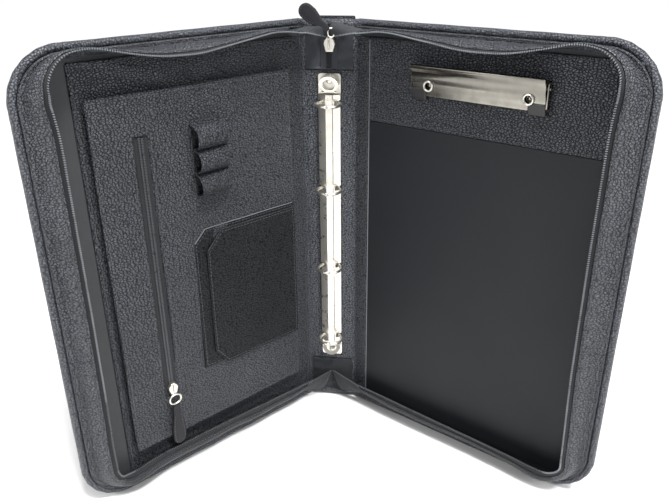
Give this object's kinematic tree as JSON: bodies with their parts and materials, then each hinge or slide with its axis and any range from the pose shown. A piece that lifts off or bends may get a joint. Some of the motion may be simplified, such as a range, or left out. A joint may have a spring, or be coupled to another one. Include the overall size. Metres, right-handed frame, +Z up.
{
  "type": "zip-round portfolio case",
  "caption": "Zip-round leather portfolio case with two hinged padded covers, a ring mechanism on the spine, an organiser panel and a clip for a writing pad.",
  "frame": {"origin": "middle of the spine board's bottom face, where the case stands", "axes": "+Z up along the spine, -Y out of the open inside, +X towards the writing side"},
  "size_m": [0.4351, 0.1989, 0.4035],
  "materials": {
    "leather": "pebbled full-grain black leather",
    "lining": "smooth charcoal lining",
    "fabric": "black woven gusset cloth",
    "zip": "dark nylon zip tape and coil",
    "board": "grey board stiffener",
    "nickel": "polished nickel plate",
    "jaw_plastic": "black moulded plastic"
  },
  "bodies": {
    "spine": {"spine_board": "board", "spine_inner_leather": "leather", "spine_outer_leather": "leather", "top_gusset_fabric": "fabric", "bottom_gusset_fabric": "fabric", "zip_tail": "zip", "ring_base_plate": "nickel", "ring_rivet_top": "nickel", "ring_rivet_bottom": "nickel"},
    "left_cover": {"left_lining": "lining", "left_cover_board": "board", "left_outer_leather": "leather", "left_edge_roll": "leather", "left_gusset_band": "leather", "left_zip_tape": "zip", "left_zip_teeth": "zip", "organiser_back_panel": "leather", "document_pocket_gusset": "fabric", "document_pocket_front": "leather", "pocket_zip": "zip", "pen_loop_strip": "leather", "card_pocket_rear": "leather", "card_pocket_front": "leather"},
    "right_cover": {"right_lining": "lining", "right_cover_board": "board", "right_outer_leather": "leather", "right_edge_roll": "leather", "right_gusset_band": "leather", "right_zip_tape": "zip", "right_zip_teeth": "zip", "right_hinge_strip": "leather", "right_leather_header": "leather", "right_writing_panel": "lining", "clip_base": "nickel", "clip_rivet_left": "nickel", "clip_rivet_right": "nickel", "clip_pin": "nickel", "clip_spring": "nickel"},
    "ring_left": {"ring_blade_left": "nickel", "ring_1_left_half": "nickel", "ring_2_left_half": "nickel", "ring_3_left_half": "nickel", "ring_4_left_half": "nickel"},
    "ring_right": {"ring_blade_right": "nickel", "ring_1_right_half": "nickel", "ring_2_right_half": "nickel", "ring_3_right_half": "nickel", "ring_4_right_half": "nickel"},
    "trigger_top": {"ring_trigger_top": "nickel"},
    "trigger_bottom": {"ring_trigger_bottom": "nickel"},
    "clip_lever": {"clip_lever": "nickel", "clip_jaw_tip_left": "jaw_plastic", "clip_jaw_tip_right": "jaw_plastic"},
    "pocket_slider": {"pocket_slider": "nickel"},
    "pocket_ring": {"pocket_pull_ring": "nickel"},
    "pocket_tab": {"pocket_pull_tab": "leather"},
    "main_slider": {"main_slider": "nickel"},
    "main_ring": {"main_pull_ring": "nickel"},
    "main_tab": {"main_pull_tab": "leather"}
  },
  "joints": [
    {"name": "left_cover_hinge", "type": "hinge", "parent": "spine", "child": "left_cover", "pos_m": [-0.0238, -0.0026, 0.194], "axis": [0, 0, 1], "range_deg": [-50, 40]},
    {"name": "right_cover_hinge", "type": "hinge", "parent": "spine", "child": "right_cover", "pos_m": [0.0238, -0.0026, 0.194], "axis": [0, 0, -1], "range_deg": [-29.5, 60.5]},
    {"name": "ring_left_hinge", "type": "hinge", "parent": "spine", "child": "ring_left", "pos_m": [-0.009, -0.0049, 0.197], "axis": [0, 0, -1], "range_deg": [0, 16]},
    {"name": "ring_right_hinge", "type": "hinge", "parent": "spine", "child": "ring_right", "pos_m": [0.009, -0.0049, 0.197], "axis": [0, 0, 1], "range_deg": [0, 16]},
    {"name": "ring_trigger_top_hinge", "type": "hinge", "parent": "spine", "child": "trigger_top", "pos_m": [0, -0.0061, 0.326], "axis": [1, 0, 0], "range_deg": [0, 22.4]},
    {"name": "ring_trigger_bottom_hinge", "type": "hinge", "parent": "spine", "child": "trigger_bottom", "pos_m": [0, -0.0061, 0.068], "axis": [-1, 0, 0], "range_deg": [0, 22.4]},
    {"name": "clip_lever_hinge", "type": "hinge", "parent": "right_cover", "child": "clip_lever", "pos_m": [0.12466, -0.06702, 0.35], "axis": [-0.8704, 0.4924, 0], "range_deg": [0, 28], "stiffness_Nm_per_rad": 0.3, "springref_deg": -22.92},
    {"name": "pocket_zip_slide", "type": "slide", "parent": "left_cover", "child": "pocket_slider", "axis": [0, 0, 1], "range_m": [0, 0.205]},
    {"name": "pocket_ring_hinge", "type": "hinge", "parent": "pocket_slider", "child": "pocket_ring", "pos_m": [-0.12062, -0.13806, 0.0852], "axis": [-0.6428, -0.766, 0], "range_deg": [0, 90]},
    {"name": "pocket_tab_hinge", "type": "hinge", "parent": "pocket_ring", "child": "pocket_tab", "pos_m": [-0.12062, -0.13806, 0.0759], "axis": [-0.6428, -0.766, 0], "range_deg": [0, 70]},
    {"name": "main_zip_slide", "type": "slide", "parent": "spine", "child": "main_slider", "axis": [0, 0, 1], "range_m": [-0.013, 0.009]},
    {"name": "main_ring_hinge", "type": "hinge", "parent": "main_slider", "child": "main_ring", "pos_m": [0.003, -0.0117, 0.3745], "axis": [1, 0, 0], "range_deg": [0, 25]},
    {"name": "main_tab_hinge", "type": "hinge", "parent": "main_ring", "child": "main_tab", "pos_m": [0.003, -0.0117, 0.3775], "axis": [0, 1, 0], "range_deg": [0, 100]}
  ],
  "couplings": [
    {"joint": "ring_right_hinge", "follows": "ring_left_hinge", "ratio": 1},
    {"joint": "ring_trigger_top_hinge", "follows": "ring_left_hinge", "ratio": 1.4},
    {"joint": "ring_trigger_bottom_hinge", "follows": "ring_left_hinge", "ratio": 1.4}
  ]
}
